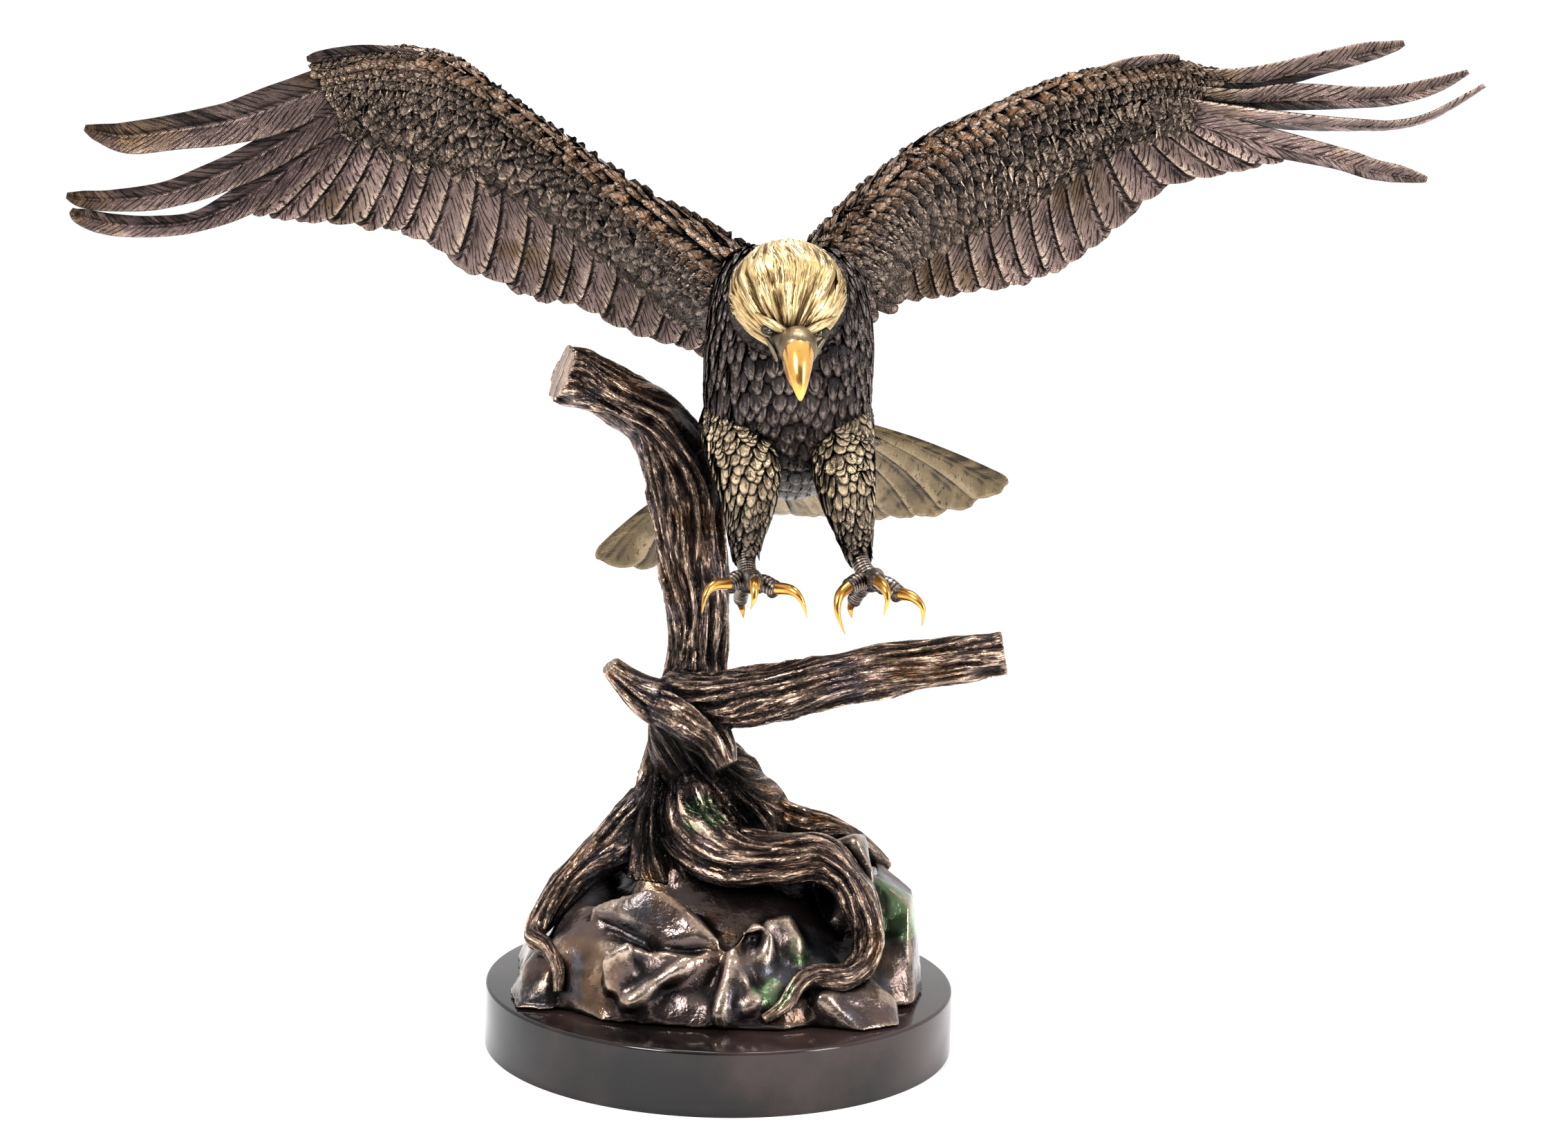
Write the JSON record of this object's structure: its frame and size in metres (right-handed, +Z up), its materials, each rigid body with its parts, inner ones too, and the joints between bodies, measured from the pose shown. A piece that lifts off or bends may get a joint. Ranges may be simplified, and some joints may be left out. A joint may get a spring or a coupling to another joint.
{
  "type": "eagle statue",
  "caption": "Cast bronze eagle with spread wings and open talons coming down over a dead branch, on a rock and a round black marble plinth.",
  "frame": {"origin": "centre of the plinth's underside", "axes": "+Z up, +X along the wings, the eagle faces -Y"},
  "size_m": [0.889, 0.3513, 0.6555],
  "materials": {
    "bronze": "dark brown patina, gilt head, beak and talons, pale tail",
    "marble": "black marble, polished top and honed side"
  },
  "bodies": {
    "root": {"bronze_eagle_on_tree": "bronze", "marble_plinth": "marble"}
  },
  "joints": []
}
